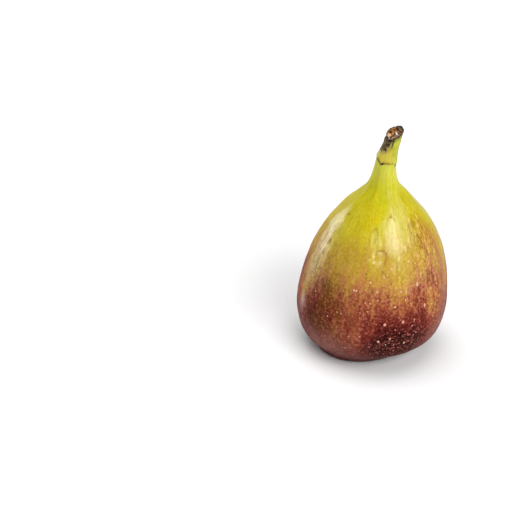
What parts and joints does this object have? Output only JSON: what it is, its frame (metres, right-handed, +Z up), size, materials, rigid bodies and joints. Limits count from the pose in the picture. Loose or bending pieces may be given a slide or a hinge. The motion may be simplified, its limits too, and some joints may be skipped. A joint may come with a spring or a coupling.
{
  "type": "fresh fig",
  "caption": "Whole fresh fig, yellow-green at the neck and maroon below, with its stalk and cut end, resting upright on its flattened base.",
  "frame": {"origin": "on the resting plane, under the middle of the bounding box", "axes": "+Z up through the stalk; the stalk leans toward +X, and the eye is low on the side toward +X and -Y"},
  "size_m": [0.0474, 0.047, 0.0762],
  "materials": {
    "fig_skin": "satin waxy skin, yellow-green above and maroon below, with pale pores"
  },
  "bodies": {
    "root": {"fig": "fig_skin"}
  },
  "joints": []
}
